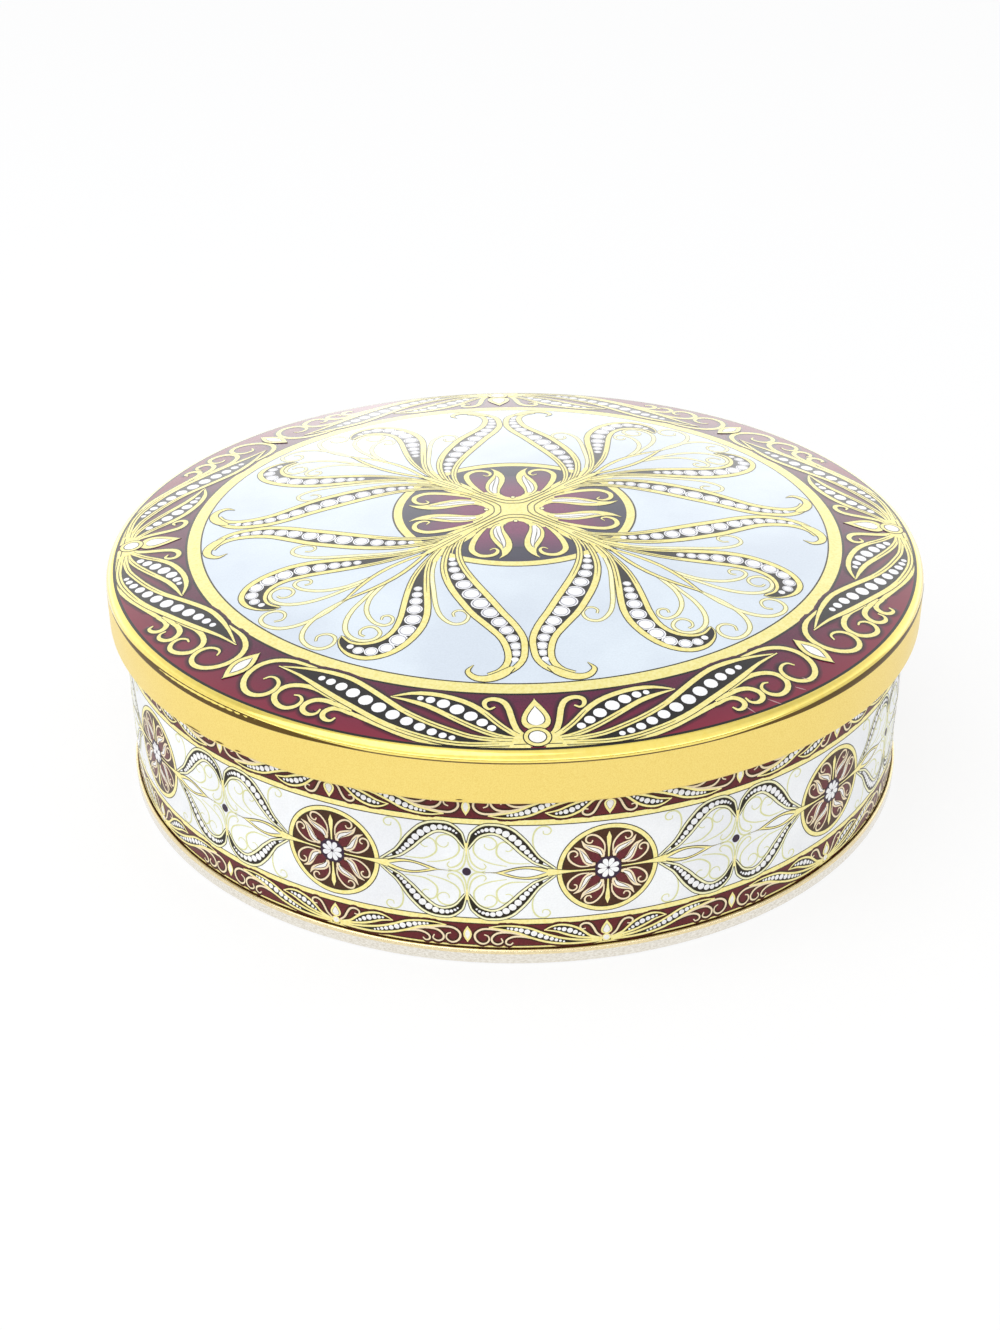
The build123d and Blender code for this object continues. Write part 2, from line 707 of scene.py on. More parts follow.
    def ground(self, place: Point, radius: float, ink: Ink) -> None:
        """Draws a large round ground in slices narrow enough to follow the metal's curve."""
        x, y = place
        self.bud((x, y - radius), (x, y + radius), whole(radius), Pen(ink), 26)

    def puck(self, place: Point, top: float, radius: float, narrow: float, segments: int) -> Faces:
        """Stands a low cone without its point on the root.

        Args:
            place: its middle.
            top: how high it stands.
            radius: the radius at its foot.
            narrow: the radius at its top.
            segments: how many sides it has.

        Returns:
            Its faces.
        """
        depth = top - self.root
        made = bmesh.ops.create_cone(
            self.bm, cap_ends=True, cap_tris=False, segments=segments, radius1=radius, radius2=narrow,
            depth=depth, matrix=Matrix.Translation((*place, self.root + depth / 2)),
        )["verts"]
        return {f for v in made for f in v.link_faces}

    def disc(self, place: Point, radius: float, pen: Pen) -> None:
        """Draws a round spot.

        Args:
            place: its middle.
            radius: its radius.
            pen: what it is drawn with.
        """
        self.level += self.rise
        segments = max(12, min(64, int(radius * 14 / self.fine)))
        faces = self.puck(place, self.level, radius, radius - (pen.line if pen.edge else 0.001), segments)
        fill, side = self.slot(pen.ink), self.slot(pen.edge or pen.ink)
        top = max(faces, key=lambda f: f.calc_center_median().z)
        for face in faces:
            face.material_index = fill if face is top else side

    def pearls(self, spots: Sequence[tuple[float, float, float]], dome: float = 0.09) -> None:
        """Draws round white beads, the large ones with a thin grey ring.

        Args:
            spots: middle and radius of each bead.
            dome: how far a bead of 1 mm radius stands up.
        """
        large, foot, swell, taper, white, grey, lip = 0.9, 0.03, 1.07, 0.93, 0.12, 0.1, 0.28
        for x, y, measured in spots:
            radius = measured * swell
            faces = self.puck((x, y), foot, radius, radius * taper, 14 if radius > large else 10)
            for face in faces:
                face.material_index = self.slot(Ink.PEARL)
            top = [max(faces, key=lambda f: f.calc_center_median().z)]
            if measured > large:
                bmesh.ops.inset_individual(self.bm, faces=top, thickness=radius * white)
                for face in bmesh.ops.inset_individual(self.bm, faces=top, thickness=radius * grey)["faces"]:
                    face.material_index = self.slot(Ink.PEARL_EDGE)
            bmesh.ops.inset_individual(self.bm, faces=top, thickness=radius * lip)
            bmesh.ops.translate(self.bm, verts=top[0].verts, vec=(0, 0, dome * radius**0.5))

    def copies(self, moves: Sequence[Matrix], lift: float = 0.0) -> None:
        """Repeats all that is drawn so far.

        Args:
            moves: one matrix for each new copy.
            lift: how much each copy lies above the one before.
        """
        drawn = list(self.bm.verts) + list(self.bm.edges) + list(self.bm.faces)
        for k, move in enumerate(moves, 1):
            made = bmesh.ops.duplicate(self.bm, geom=drawn)["geom"]
            verts = [g for g in made if isinstance(g, bmesh.types.BMVert)]
            bmesh.ops.transform(self.bm, matrix=Matrix.Translation((0, 0, lift * k)) @ move, verts=verts)
            if move.determinant() < 0:
                faces = [g for g in made if isinstance(g, bmesh.types.BMFace)]
                bmesh.ops.reverse_faces(self.bm, faces=faces)

    def lay(self, name: str, surface: Dome | Round | Rim) -> bpy.types.Object:
        """Lays the drawing on the metal and makes it an object.

        Args:
            name: the piece's name.
            surface: what it lies on.

        Returns:
            The finished piece.
        """
        for v in self.bm.verts:
            v.co = surface.place(*v.co)
        return finished(name, self.bm, self.inks)


def placed(name: str, data: bpy.types.ID) -> bpy.types.Object:
    """Makes an object and puts it in the scene.

    Args:
        name: its name.
        data: its mesh, camera or light.

    Returns:
        The object.
    """
    thing = bpy.data.objects.new(name, data)
    bpy.context.scene.collection.objects.link(thing)
    return thing


def finished(name: str, bm: Mesh, inks: Sequence[Ink], sharp: float = 55.0) -> bpy.types.Object:
    """Turns a mesh drawn in millimetres into a finished object at the origin.

    Args:
        name: the piece's name.
        bm: its mesh.
        inks: its finishes, in the order of the material indices.
        sharp: angle in degrees past which an edge is not smoothed.

    Returns:
        The object.
    """
    bmesh.ops.recalc_face_normals(bm, faces=bm.faces)
    bmesh.ops.scale(bm, vec=(MM, MM, MM), verts=bm.verts)
    for face in bm.faces:
        face.smooth = True
    for edge in bm.edges:
        if len(edge.link_faces) == 2 and edge.calc_face_angle(0.0) > math.radians(sharp):
            edge.smooth = False
    mesh = bpy.data.meshes.new(name)
    bm.to_mesh(mesh)
    bm.free()
    for ink in inks:
        mesh.materials.append(ink.material())
    return placed(name, mesh)


def arc(centre: Point, radius: float, start: float, stop: float, steps: int) -> list[Point]:
    """Points round part of a circle, in even steps from one angle in degrees to another."""
    turns = [math.radians(start + (stop - start) * k / steps) for k in range(steps + 1)]
    return [(centre[0] + radius * math.cos(a), centre[1] + radius * math.sin(a)) for a in turns]


def spin(bm: Mesh, geom: Sequence[object], angle: float, steps: int, merge: bool) -> None:
    """Turns part of a mesh about the tin's axis and joins what meets.

    Args:
        bm: the mesh.
        geom: what is turned.
        angle: how far, in radians.
        steps: in how many steps.
        merge: whether the last step meets the first.
    """
    bmesh.ops.spin(
        bm, geom=geom, cent=(0, 0, 0), axis=(0, 0, 1), dvec=(0, 0, 0), angle=angle, steps=steps,
        use_merge=merge, use_normal_flip=False, use_duplicate=False,
    )
    bmesh.ops.remove_doubles(bm, verts=bm.verts, dist=WELD)


@dataclass
class Pressing:
    """A sheet of tinplate turned round the tin's axis from the line of its outer face."""

    name: str
    gauge: float
    steps: int = 256
    mitre: float = 0.5
    sharp: float = 40.0
    line: list[tuple[float, float, Ink]] = field(default_factory=list)

    def to(self, points: Points, ink: Ink) -> None:
        """Runs the line on, by points as radius and height; the ink is for the stretch up to each."""
        self.line += [(r, z, ink) for r, z in points]

    def make(self, back: Ink, flip: bool = False) -> bpy.types.Object:
        """Thickens the line by the gauge, closes it and turns it round the axis.

        Args:
            back: the finish of the sheet's other face.
            flip: whether the thickness lies to the left of the line.

        Returns:
            The piece.
        """
        outer = [Vector((r, 0.0, z)) for r, z, _ in self.line]
        inner = []
        side = 1.0 if flip else -1.0
        for i, p in enumerate(outer):
            before = (p - outer[i - 1]).normalized() if i else (outer[1] - p).normalized()
            after = (outer[i + 1] - p).normalized() if i < len(outer) - 1 else before
            along = (before + after).normalized()
            spread = max(self.mitre, along.dot(before))
            q = p + Vector((along.z, 0.0, -along.x)) * (side * self.gauge / spread)
            inner.append(Vector((0.0 if p.x == 0.0 else q.x, 0.0, q.z)))
        section = outer + inner[::-1]
        inks = [ink for _, _, ink in self.line[1:]] + [back] * (len(outer) + 1)
        bm = bmesh.new()
        place = bm.verts.layers.int.new("place")
        verts = [bm.verts.new(p) for p in section]
        for k, v in enumerate(verts):
            v[place] = k
        edges = [bm.edges.new(pair) for pair in zip(verts, verts[1:])]
        if section[0].x != 0.0:
            edges.append(bm.edges.new((verts[-1], verts[0])))
        spin(bm, verts + edges, math.tau, self.steps, True)
        used: list[Ink] = []
        last = len(section) - 1
        for face in bm.faces:
            places = [v[place] for v in face.verts]
            low, high = min(places), max(places)
            span = last if high - low > 1 and low == 0 and high == last else low
            ink = inks[min(span, len(inks) - 1)]
            if ink not in used:
                used.append(ink)
            face.material_index = used.index(ink)
        bm.verts.layers.int.remove(place)
        return finished(self.name, bm, used, self.sharp)


# The tin's own sizes


@dataclass(frozen=True)
class Sizes:
    """Sizes shared by the lid, the wall and the base, as the model has them."""

    wall_radius: float = 96.8
    wall_height: float = 55.15
    gauge: float = 0.25
    mouth_curl: float = 2.0
    lid_radius: float = 100.0
    lid_rise: float = 8.8
    lid_skirt: float = 12.1
    lid_corner: float = 2.2
    lid_curl: float = 2.2
    seat_gap: float = 0.3
    base_recess: float = 3.2
    seam_radius: float = 97.64
    seam_height: float = 3.6
    bead_radius: float = 77.0
    bead_width: float = 6.0
    bead_rise: float = 0.8
    fold_gap: float = 0.03
    curl_sweep: float = 290.0
    curl_steps: int = 18

    def dome(self) -> Dome:
        """Finds the sphere of the lid's crown.

        Returns:
            The sphere.
        """
        radius = (self.lid_radius**2 + self.lid_rise**2) / (2 * self.lid_rise)
        reach = radius - self.gauge - self.seat_gap - self.mouth_curl / 2
        middle = self.wall_radius - self.mouth_curl / 2
        centre = self.wall_height - self.mouth_curl / 2 - math.sqrt(reach**2 - middle**2)
        return Dome(radius, centre)


SIZES = Sizes()


def dress(piece: bpy.types.Object, body: str, slot: str, *nodes: str) -> None:
    """Puts a piece on its body and hides the model nodes that it stands for.

    Args:
        piece: the piece.
        body: the body it moves with.
        slot: the record's material slot; not used.
        nodes: model nodes that it stands for.
    """
    if nodes:
        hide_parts(*nodes)
    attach(piece, body)
    log.info("%s: %d faces on %s", piece.name, len(piece.data.polygons), body)


# The lid


GOLD_PEN = Pen(Ink.GOLD, Ink.LINE, 0.24)
RIM_PEN = Pen(Ink.GOLD, Ink.BLACK, 0.2)
JEWEL_PEN = Pen(Ink.GOLD, Ink.BLACK, 0.25)
CORE_PEN = Pen(Ink.CORE, Ink.LINE, 0.25)
FINE_PEN = Pen(Ink.LINE)


def diagonal(r: float, across: float = 0.0) -> Point:
    """Point of the lid's sector on its 45 degree line, or beside it, at a distance from the axis."""
    return ((r + across) / math.sqrt(2), (r - across) / math.sqrt(2))


@dataclass
class Lid:
    """Domed slip lid: its pressing and the print on its crown."""

    azimuth: float = 272.4
    print_edge: float = 97.52
    wear: float = 0.75
    bud_from: float = 29.0
    bud_to: float = 58.7
    mirror_lift: float = 0.0009
    # height of the band of painted shade below the corner's foot
    foot_line: float = 0.1

    def shell(self) -> None:
        """Builds the pressing, with the print's plain rings, and a dark band of painted shade at the
        corner's foot, as bands of its own faces.
        """
        dome = SIZES.dome()
        piece = Pressing("lid_shell", SIZES.gauge)
        low = 0.0
        piece.to([(0.0, dome.height(0.0))], Ink.CHARCOAL)
        for edge, ink, steps in (
            (27.5, Ink.CHARCOAL, 4), (27.6, Ink.BLACK, 1), (29.6, Ink.RING_GOLD, 1), (30.05, Ink.LINE, 1),
            (76.6, Ink.FIELD, 8), (76.98, Ink.LINE, 1), (80.1, Ink.RING_GOLD, 1), (80.7, Ink.BLACK, 1),
            (self.print_edge, Ink.BURGUNDY, 4),
        ):
            rings = [low + (edge - low) * k / steps for k in range(1, steps + 1)]
            piece.to([(r, dome.height(r)) for r in rings], ink)
            low = edge
        corner_r = SIZES.lid_radius - SIZES.lid_corner
        corner_z = dome.centre + math.sqrt((dome.radius - SIZES.lid_corner) ** 2 - corner_r**2)
        lean = math.degrees(math.asin(corner_r / (dome.radius - SIZES.lid_corner)))
        corner = arc((corner_r, corner_z), SIZES.lid_corner, 90 - lean, 0, 14)
        piece.to(corner[:1], Ink.BLACK)
        piece.to(corner[1:-1], Ink.CORNER)
        # painted shade: dark band at the corner's foot, standing in for its dark reflection
        piece.to([corner[-1], (SIZES.lid_radius, corner_z - self.foot_line)], Ink.FOOT)
        curl_r = SIZES.lid_curl / 2
        foot = dome.height(SIZES.lid_radius) - SIZES.lid_skirt
        piece.to([(SIZES.lid_radius, foot + curl_r)], Ink.SKIRT)
        middle = (SIZES.lid_radius - curl_r, foot + curl_r)
        piece.to(arc(middle, curl_r, 0, -SIZES.curl_sweep, SIZES.curl_steps)[1:], Ink.SKIRT)
        dress(piece.make(Ink.INSIDE, flip=True), "lid", "lid_print", "lid")
        self.marks(Rim(SIZES.lid_radius, SIZES.lid_corner, corner_z))

    def marks(self, rim: Rim) -> None:
        """Draws the painted shade under the rounded corner, dark lines that stand in for the reflection
        there, the worn edge of the skirt and the scratches.

        Args:
            rim: the corner and the skirt under it.
        """
        d, rubbed = Drawing(fine=0.5, level=0.035, rise=0.002, root=-0.08), Pen(Ink.RUBBED)
        # Painted shade: two dark lines at the corner's foot, left and right, standing in for the dark
        # reflection there.
        d.bud((-160, 0.2), (-108, 0.2), lens(0.9), rubbed, 60)
        d.bud((-66, 0.15), (-12, 0.15), lens(0.72), rubbed, 60)
        # Real wear: small rubbed chips on the skirt's lower edge.
        low = SIZES.lid_corner - SIZES.lid_skirt + self.wear
        worn = ((-137, 3.2, 0.16), (-131, 1.6, 0.2), (-127.5, 1.0, 0.14), (-97.5, 0.9, 0.12))
        for azimuth, reach, wide in worn:
            d.bud((azimuth, low), (azimuth + reach, low + 0.1), lens(wide), rubbed, 8)
        dress(d.lay("lid_edge_wear", rim), "lid", "lid_print")
        d = Drawing(fine=0.5, level=0.05)
        for start, end in (
            ((59.5, -74.0), (62.0, -74.8)), ((53.0, -79.0), (56.0, -80.4)), ((48.0, -82.0), (50.0, -84.0)),
            ((61.5, -70.5), (63.0, -71.0)),
        ):
            d.bud(start, end, lens(0.13), Pen(Ink.SCRATCH), 6)
        dress(d.lay("lid_scratches", SIZES.dome()), "lid", "lid_print")

    def place(self, drawing: Drawing, name: str) -> None:
        """Repeats a sector four times, turns it to its place and lays it on the crown.

        Args:
            drawing: the drawing of one sector.
            name: the piece's name.
        """
        drawing.copies([Matrix.Rotation(math.radians(90 * k), 4, "Z") for k in (1, 2, 3)])
        for v in drawing.bm.verts:
            reach = math.hypot(v.co.x, v.co.y)
            if reach > self.print_edge:
                v.co.x *= self.print_edge / reach
                v.co.y *= self.print_edge / reach
        turn = Matrix.Rotation(math.radians(self.azimuth), 3, "Z")
        bmesh.ops.rotate(drawing.bm, verts=drawing.bm.verts, cent=(0, 0, 0), matrix=turn)
        dress(drawing.lay(name, SIZES.dome()), "lid", "lid_print")

    def mirror(self, drawing: Drawing) -> None:
        """Mirrors half a sector in the sector's own axis."""
        drawing.copies([Matrix.Scale(-1, 4, (0, 1, 0))], self.mirror_lift)

    def rosette(self) -> None:
        """Draws the cross of four tulips on the dark disc in the middle."""
        d = Drawing(level=0.012)
        petal = [
            (8.2, 3.4), (10, 4.4), (12.5, 4.7), (15.5, 4.2), (18, 3.5), (20.5, 3.0), (22.5, 3.1),
            (24.4, 3.7), (26, 4.8),
        ]
        curl = [
            (10.0, 7.4), (11.9, 8.5), (15.3, 10.0), (19.0, 11.0), (22.0, 11.0), (24.2, 9.4), (24.6, 7.4),
            (23.8, 5.7), (22.2, 5.0), (21.0, 5.7), (21.7, 6.9),
        ]
        middle = [(7.0, 0.0), (11.0, 0.0), (15.0, 0.0), (20.5, 0.0)]
        d.between(middle, [(7.2, 1.8), (11, 3.2), (15, 3.2), (20.5, 1.6)], Ink.MAUVE, 16, 1.0)
        outer = [(10, 7.8), (14.5, 9.8), (19, 10.9), (23.8, 9.4)]
        d.between([(9.5, 5.6), (14, 6.2), (18, 5.6), (23.6, 5.2)], outer, Ink.MAUVE, 16, 0.8)
        d.level = 0.03
        tulip = [
            (6.9, 0.01), (7.1, 1.4), (8.2, 2.5), (9.4, 3.0), (10.2, 5.2), (10.6, 7.6), (12.4, 9.0),
            (15.5, 11.4), (19, 14.6), (21.5, 17.4),
        ]
        d.between([(0, 0), (5, 5), (13, 13), (22, 22)], tulip, Ink.GOLD, 24)
        d.stroke(curl, (0.6, 0.85, 0.9, 0.9, 0.85, 0.7, 0.3), Pen(Ink.GOLD, Ink.LINE, 0.22))
        d.stroke(petal, (0.8, 1.6, 2.1, 2.35, 2.35, 2.0, 1.4, 0.8, 0.05), GOLD_PEN)
        d.level += d.layer
        core = [(9.6, 4.3), (12, 4.7), (15, 4.4), (18, 3.6), (20, 3.4), (21.2, 3.8)]
        d.stroke(core, (0.6, 1.05, 1.15, 1.15, 0.9, 0.55, 0.05), Pen(Ink.CORE, Ink.LINE, 0.2))
        d.disc((6.9, 0), 0.72, FINE_PEN)
        d.disc((6.9, 0), 0.5, Pen(Ink.PALE_GOLD))
        d.level += d.layer
        d.stroke([(10.8, 4.9), (13, 4.8), (16, 4.3), (19.4, 3.7)], (0.04, 0.13, 0.04), FINE_PEN)
        for path in (
            [(3.3, 0), (3.4, 1.7), (4.4, 3.6), (6.1, 5.3), (8.2, 7.3), (10.4, 9.3)],
            [(4.9, 0), (5.1, 1.8), (6.2, 3.6), (8, 5.7), (10.3, 8.0), (13, 9.9)],
        ):
            d.stroke(path, (0.12, 0.14, 0.14, 0.13, 0.1), FINE_PEN)
        self.mirror(d)
        self.place(d, "lid_rosette")

    def plumes(self) -> None:
        """Draws the eight long and eight short plumes filled with pearls."""
        d = Drawing(level=0.012)
        low = [
            (12, 11.4), (15.5, 13.1), (20, 14.2), (25, 14.2), (30, 13.2), (35, 11.5), (40, 9.4), (45, 7.2),
            (50, 5.1), (55, 2.7), (60, 1.1), (64, 0.95), (68, 1.5), (71, 3.2), (73.4, 6.2),
        ]
        high = [
            (13, 13.0), (16, 14.9), (20, 16.5), (25, 17.6), (30, 17.9), (35, 17.3), (40, 16.0), (45, 14.1),
            (50, 11.9), (55, 8.8), (60, 5.9), (65, 4.7), (69, 4.9), (72, 6.6), (73.5, 9.2),
        ]
        d.between(low[3:-2], high[3:-2], Ink.BLACK, 24)
        inner = [
            (21, 19.6), (25, 21.6), (28, 23), (33, 24.9), (38, 26.1), (44, 27.1), (50, 28), (55, 29.6),
            (58.2, 32.4), (59.2, 36), (58.2, 39), (55.6, 40.9),
        ]
        outer = [
            (20, 18.6), (25, 20.9), (30, 21.8), (35, 22.0), (40, 22.0), (45, 21.9), (50, 22.2), (55, 23.6),
            (60.3, 26.8), (63.6, 30.6), (64.7, 35), (63.3, 38.7), (60.4, 41.0), (57.3, 41.7), (55.2, 41.0),
        ]
        d.between(inner[2:], outer[1:-1], Ink.BLACK, 22)
        d.level = 0.03
        for one, two, steps in (
            ([(11, 10), (16, 13.5), (21, 15.5), (26, 15.9)],
             [(11, 10.6), (15, 14), (20, 15.6), (26, 16.1)], 10),
            ([(16, 15.2), (21, 17.6), (26, 19.3)],
             [(17, 17), (22, 20.4), (27, 21.9)], 8),
        ):
            d.between(one, two, Ink.GOLD, steps)
        for path, widths in (
            (inner, (0.45, 0.78, 0.84, 0.84, 0.78, 0.45)),
            (outer, (0.45, 0.84, 0.94, 0.94, 0.94, 0.85, 0.15)),
            (low, (0.55, 0.86, 0.96, 0.96, 0.96, 0.92, 0.92)),
            (high, (0.55, 0.86, 0.96, 0.96, 0.96, 0.92, 0.92)),
        ):
            d.stroke(path, widths, GOLD_PEN)
        d.level += 0.012
        for path in (inner[1:5], outer[1:5], low[1:6], high[1:6]):
            d.stroke(path, (0.03, 0.1, 0.1, 0.1, 0.03), FINE_PEN)
        hook = [(70.9, 3.9), (73.2, 6.2), (74.6, 9.0), (74.5, 11.4), (73.3, 13), (71.6, 13.6), (69.6, 12.3)]
        d.stroke(hook, (0.7, 1.3, 1.4, 1.2, 0.95, 0.7, 0.1), GOLD_PEN)
        d.pearls([
            (25.4, 15.9, 0.8), (27.6, 15.7, 1.05), (30.4, 15.5, 1.3), (33.6, 14.7, 1.6),
            (37.4, 13.4, 1.95), (41.6, 11.8, 2.25), (45.8, 9.9, 2.25), (49.8, 7.9, 2.1), (53.7, 6, 1.9),
            (57, 4.6, 1.65), (60.2, 3.5, 1.45), (63.2, 2.9, 1.35), (65.9, 2.9, 1.15), (68.2, 3.3, 0.85),
            (38.1, 24.0, 0.95), (40.7, 24.2, 1.2), (43.5, 24.5, 1.45), (46.9, 24.8, 1.8),
            (51.0, 25.2, 2.0), (55.2, 26.5, 2.1), (58.7, 28.5, 2.1), (61.5, 31.1, 1.8),
            (62.3, 34.5, 1.55), (61.5, 37.3, 1.25), (59.8, 39.1, 0.8),
        ])
        self.mirror(d)
        d.level = 0.1
        d.bud(diagonal(14), diagonal(33), wedge(2.0), Pen(Ink.GOLD), 18)
        for way in (1, -1):
            for start, spread, reach in ((14.2, 0.75, 27), (19, 0.3, 32)):
                spots = ((start, 1.0), ((start + reach) / 2, 1.9), (reach, 3.0))
                vein = [diagonal(r, way * spread * share) for r, share in spots]
                d.stroke(vein, (0.1, 0.12, 0.03), FINE_PEN)
        self.place(d, "lid_plumes")

    def filigree(self) -> None:
        """Draws the pale scrolls between the plumes and the long white bud on each diagonal."""
        d = Drawing(level=0.014)
        thin = (0.4, 0.55, 0.65, 0.65, 0.6, 0.5, 0.35)
        for path in (
            [(20, 18.5), (26, 19.9), (32, 20.7), (40, 20.4), (46, 20), (50.5, 18.9), (53.6, 16.5),
             (53.4, 14), (51, 12.8), (49, 13.5), (48.3, 15), (49.3, 16.2), (50.8, 16)],
            [(27, 26), (32, 29.8), (37, 33), (41, 35), (46, 35.7), (50.5, 34.3), (52.5, 32), (52, 30.3),
             (50.2, 29.7), (48.8, 30.5), (48.9, 31.9), (50.2, 32.3)],
            [(34, 32.5), (41, 36.3), (45, 38.7), (50, 40.3), (54.5, 40), (57.5, 37.7), (58, 34.5),
             (56, 32.6), (53.5, 33.3), (52.6, 35), (53.5, 36.7), (55.3, 37), (56.3, 36)],
            [(38, 37.5), (41.5, 41.5), (45, 45.5), (50, 49), (54.5, 50), (58, 48.5), (59.6, 45.8),
             (58.5, 43.2), (56, 42.5), (54.2, 44), (54.6, 46.3), (56.5, 46.8)],
        ):
            d.stroke(path, thin, Pen(Ink.PALE_GOLD, Ink.FAINT_LINE, 0.2))
        self.mirror(d)
        start, reach = self.bud_from, self.bud_to
        d.level = 0.03
        d.bud(diagonal(start), diagonal(reach), lens(2.9), Pen(Ink.GOLD, Ink.LINE, 0.26))
        d.level += d.layer
        d.bud(diagonal(start + 3), diagonal(reach - 2.5), lens(1.8), Pen(Ink.FIELD, Ink.LINE, 0.2))
        d.stroke([diagonal(start + r) for r in (-13, -4, 3)], (0.04, 0.12, 0.04), FINE_PEN)
        self.place(d, "lid_filigree")

    def border(self) -> None:
        """Draws the jewels, leaves and scrolls of the burgundy ring."""
        d = Drawing(level=0.03)
        hook = [
            (94.2, 2.6), (92.2, 4), (89, 4.9), (85.5, 5.4), (82.9, 6.4), (81.7, 8.3), (82.1, 10.1),
            (83.6, 10.5), (84.9, 9.6), (84.3, 8.3),
        ]
        short_low = [
            (94.4, 3.2), (92.6, 5.3), (90, 7.7), (86, 10.6), (83, 13.5), (80.6, 17.3), (78.9, 21.6),
            (78.3, 25.8), (78.9, 30.2),
        ]
        short_high = [
            (94.8, 4.0), (94, 7), (92.4, 10.3), (90, 13.8), (86.5, 18.1), (83, 22.3), (80.8, 26), (79, 30),
        ]
        long_low = [
            (95.4, 3.4), (94.9, 8), (93.4, 13.6), (91, 18), (88, 22.6), (84, 27.4), (79, 31.8), (75, 35.3),
            (71.5, 38.8), (68.7, 43.3), (66.8, 47.6), (65.6, 51.2), (64.7, 54.2),
        ]
        long_high = [
            (96.0, 3.4), (96.0, 8), (95.7, 14.2), (94.5, 19.4), (92.2, 24.4), (89.3, 29.2), (85.9, 33.5),
            (81.9, 37.6), (77.7, 41.8), (73.0, 46.1), (68.6, 49.9), (64.5, 54.5),
        ]
        stem = [
            (96.9, 1.6), (97.1, 6), (97.1, 11), (96.3, 17), (94.3, 22.5), (91.3, 28), (87.5, 33.2),
            (84, 37.8),
        ]
        scrolls = (
            [(84.9, 36.5), (83.5, 38.5), (81.7, 40.8), (81.3, 42.7), (82.3, 44.3), (84, 44.4), (85.2, 43),
             (84.4, 41.8)],
            [(82.5, 38.4), (80.5, 41), (78.5, 43.8), (77.9, 46.3), (79, 48.4), (80.8, 48.8), (82.4, 47.6),
             (82.4, 45.9), (81.1, 45)],
            [(79, 41.5), (77, 43.5), (74.2, 46), (72.3, 49.5), (72.2, 52.6), (74.2, 54.8), (77, 54.8),
             (79.3, 53), (79.4, 50.6), (77.8, 49.1), (76, 49.5), (75.4, 50.8)],
            [(66.8, 46.2), (65.2, 48.4), (63.6, 50.8), (62.6, 53.4), (62.4, 56.2), (63.4, 58.9), (65.6, 61),
             (68.6, 62), (71.6, 61.6), (73.6, 60), (74.2, 57.6), (73.2, 55.4), (71.2, 54.3), (69.2, 54.7),
             (68.1, 56.1), (68.6, 57.7)],
        )
        for path in (hook, stem, short_low, short_high, long_low, long_high, *scrolls):
            d.shadow(path, 1.9, Ink.SHADED)
        d.level = 0.03
        d.between(short_low[1:-1], short_high[1:-1], Ink.BLACK, 14)
        d.between(long_low[1:-1], long_high[1:-1], Ink.BLACK, 20)
        for paths, widths in (
            (scrolls, (0.5, 0.82, 0.85, 0.85, 0.75, 0.4)),
            ([stem], (0.8, 0.95, 1.0, 0.95, 0.85, 0.75)),
            ([hook], (0.85, 0.85, 0.85, 0.85, 0.75, 0.4)),
            ((short_low, short_high, long_low, long_high), (0.8, 0.85, 0.85, 0.82, 0.8, 0.35)),
        ):
            for path in paths:
                d.stroke(path, widths, RIM_PEN)
        d.level += 0.012
        for path in (stem[1:5], short_low[1:4], short_high[1:5], long_low[1:6], long_high[1:6]):
            d.stroke(path, (0.03, 0.12, 0.12, 0.03), FINE_PEN)
        d.pearls(
            [(x, y, r * 1.1) for x, y, r in (
                (91, 9.3, 1.15), (89.1, 11.2, 1.45), (86.9, 13.5, 1.75), (84.5, 16.3, 1.9),
                (82.4, 19.1, 1.7), (80.9, 21.8, 1.25), (80.1, 23.9, 0.85), (93.4, 17.6, 0.85),
                (92.5, 19.5, 1.05), (91.2, 21.7, 1.3), (89.4, 24.2, 1.5), (87.3, 26.9, 1.65),
                (84.9, 29.8, 1.85), (82.2, 32.7, 1.95), (79.4, 35.5, 1.95), (76.6, 38.2, 1.85),
                (74.1, 40.7, 1.6), (72.1, 43, 1.3), (70.5, 45, 0.95),
            )]
        )
        self.mirror(d)
        d.level += 0.01
        d.between([(93.2, -4.4), (93.2, 4.4)], [(97.1, -6), (97.1, 6)], Ink.GOLD, 6)
        d.stroke([(96.4, -5), (96.4, 5)], (0.12, 0.12), FINE_PEN)
        d.bud((81.9, 0), (92.2, 0), drop(3.3), JEWEL_PEN)
        d.level += d.layer
        d.bud((84.3, 0), (90.7, 0), drop(2.0), CORE_PEN)
        d.level += d.layer
        d.disc((94.3, 0), 3.05, Pen(Ink.BLACK))
        d.disc((94.3, 0), 2.8, Pen(Ink.GOLD))
        d.level += d.layer
        d.disc((94.3, 0), 2.0, FINE_PEN)
        d.disc((94.3, 0), 1.75, Pen(Ink.CORE))
        d.bud(diagonal(83.2), diagonal(94.6), lens(2.6), JEWEL_PEN)
        d.level += d.layer
        d.bud(diagonal(85.4), diagonal(92.4), lens(1.4), CORE_PEN)
        self.place(d, "lid_border")

    def build(self) -> None:
        """Builds the whole lid."""
        self.shell()
        self.rosette()
        self.plumes()
        self.filigree()
        self.border()


# The wall


